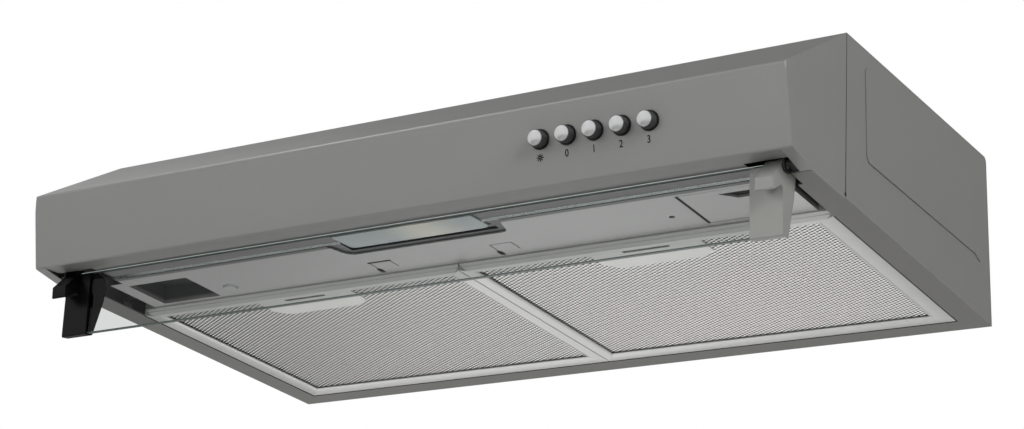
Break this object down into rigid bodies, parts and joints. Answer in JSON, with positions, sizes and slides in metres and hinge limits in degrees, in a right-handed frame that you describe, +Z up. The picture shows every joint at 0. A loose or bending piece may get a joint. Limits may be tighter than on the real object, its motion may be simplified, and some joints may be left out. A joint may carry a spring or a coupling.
{
  "type": "range hood",
  "caption": "Under-cabinet range hood: folded steel body with push buttons, lamp, two grease filter cassettes, hinged glass visor, centrifugal fan and round duct collar.",
  "frame": {"origin": "centre of the four cabinet screw holes, on the top face", "axes": "+Z up, +Y towards the wall, +X to the right as seen by someone standing at the cooker, so the controls are on +X"},
  "size_m": [0.6016, 0.3575, 0.1849],
  "materials": {
    "painted_steel": "satin",
    "zinc_steel": "satin",
    "white_plastic": "matte",
    "lens_plastic": "gloss",
    "bulb_glass": "gloss",
    "satin_metal_caps": "satin",
    "black_plastic": "matte",
    "grey_plastic": "matte",
    "motor_steel": "satin",
    "rubber": "matte",
    "filter_aluminium": "satin",
    "visor_glass": "gloss",
    "black_steel": "satin"
  },
  "bodies": {
    "root": {"canopy": "painted_steel", "fascia": "painted_steel", "lamp_panel": "painted_steel", "terminal_cover": "painted_steel", "panel_screw": "zinc_steel", "scroll_screws": "zinc_steel", "collar_screws": "zinc_steel", "flap_pin": "zinc_steel", "visor_pins": "zinc_steel", "motor_bracket": "zinc_steel", "capacitor_clip": "zinc_steel", "lamp_housing": "white_plastic", "capacitor": "white_plastic", "lamp_holder": "white_plastic", "terminal_block": "white_plastic", "lamp_lens": "lens_plastic", "lamp_bulb": "bulb_glass", "button_guide": "black_plastic", "outlet_collar": "black_plastic", "junction_box": "black_plastic", "junction_lid": "black_plastic", "cable_gland": "black_plastic", "switch_block": "black_plastic", "fan_scroll": "grey_plastic", "scroll_cover": "grey_plastic", "motor": "motor_steel", "motor_bushes": "rubber", "visor_hinge_left": "black_steel", "visor_hinge_right": "black_steel"},
    "impeller": {"impeller": "black_plastic", "motor_shaft": "zinc_steel"},
    "flap_left": {"flap_left": "grey_plastic"},
    "flap_right": {"flap_right": "grey_plastic"},
    "button_light": {"button_light": "satin_metal_caps"},
    "button_stop": {"button_stop": "satin_metal_caps"},
    "button_speed_1": {"button_speed_1": "satin_metal_caps"},
    "button_speed_2": {"button_speed_2": "satin_metal_caps"},
    "button_speed_3": {"button_speed_3": "satin_metal_caps"},
    "filter_left": {"filter_frame_left": "filter_aluminium", "filter_mesh_left": "filter_aluminium", "filter_handle_left": "filter_aluminium"},
    "filter_right": {"filter_frame_right": "filter_aluminium", "filter_mesh_right": "filter_aluminium", "filter_handle_right": "filter_aluminium"},
    "latch_left": {"filter_latch_left": "grey_plastic"},
    "latch_right": {"filter_latch_right": "grey_plastic"},
    "visor": {"visor_glass": "visor_glass", "visor_bracket_left": "black_plastic", "visor_bracket_right": "grey_plastic"}
  },
  "joints": [
    {"name": "fan_spin", "type": "hinge", "parent": "root", "child": "impeller", "pos_m": [-0.146, -0.00667, -0.038], "axis": [0, 0, 1], "continuous": true},
    {"name": "flap_left_swing", "type": "hinge", "parent": "root", "child": "flap_left", "pos_m": [0, 0.04, 0.013], "axis": [0, 1, 0], "range_deg": [0, 75]},
    {"name": "flap_right_swing", "type": "hinge", "parent": "root", "child": "flap_right", "pos_m": [0, 0.04, 0.013], "axis": [0, -1, 0], "range_deg": [0, 75]},
    {"name": "button_light_press", "type": "slide", "parent": "root", "child": "button_light", "axis": [0, 0.9875, 0.1577], "range_m": [0, 0.003], "stiffness_N_per_m": 600, "springref_m": -0.001},
    {"name": "button_stop_press", "type": "slide", "parent": "root", "child": "button_stop", "axis": [0, 0.9875, 0.1577], "range_m": [0, 0.003], "stiffness_N_per_m": 600, "springref_m": -0.001},
    {"name": "button_speed_1_press", "type": "slide", "parent": "root", "child": "button_speed_1", "axis": [0, 0.9875, 0.1577], "range_m": [0, 0.003], "stiffness_N_per_m": 600, "springref_m": -0.001},
    {"name": "button_speed_2_press", "type": "slide", "parent": "root", "child": "button_speed_2", "axis": [0, 0.9875, 0.1577], "range_m": [0, 0.003], "stiffness_N_per_m": 600, "springref_m": -0.001},
    {"name": "button_speed_3_press", "type": "slide", "parent": "root", "child": "button_speed_3", "axis": [0, 0.9875, 0.1577], "range_m": [0, 0.003], "stiffness_N_per_m": 600, "springref_m": -0.001},
    {"name": "filter_left_drop", "type": "hinge", "parent": "root", "child": "filter_left", "pos_m": [0, 0.11053, -0.12694], "axis": [1, 0, 0], "range_deg": [0, 60]},
    {"name": "filter_right_drop", "type": "hinge", "parent": "root", "child": "filter_right", "pos_m": [0, 0.11053, -0.12694], "axis": [1, 0, 0], "range_deg": [0, 60]},
    {"name": "latch_left_slide", "type": "slide", "parent": "filter_left", "child": "latch_left", "axis": [0, 0.9985, -0.0542], "range_m": [0, 0.003], "stiffness_N_per_m": 500, "springref_m": -0.001},
    {"name": "latch_right_slide", "type": "slide", "parent": "filter_right", "child": "latch_right", "axis": [0, 0.9985, -0.0542], "range_m": [0, 0.003], "stiffness_N_per_m": 500, "springref_m": -0.001},
    {"name": "visor_tilt", "type": "hinge", "parent": "root", "child": "visor", "pos_m": [0, -0.192, -0.108], "axis": [1, 0, 0], "range_deg": [-34, 55]}
  ]
}
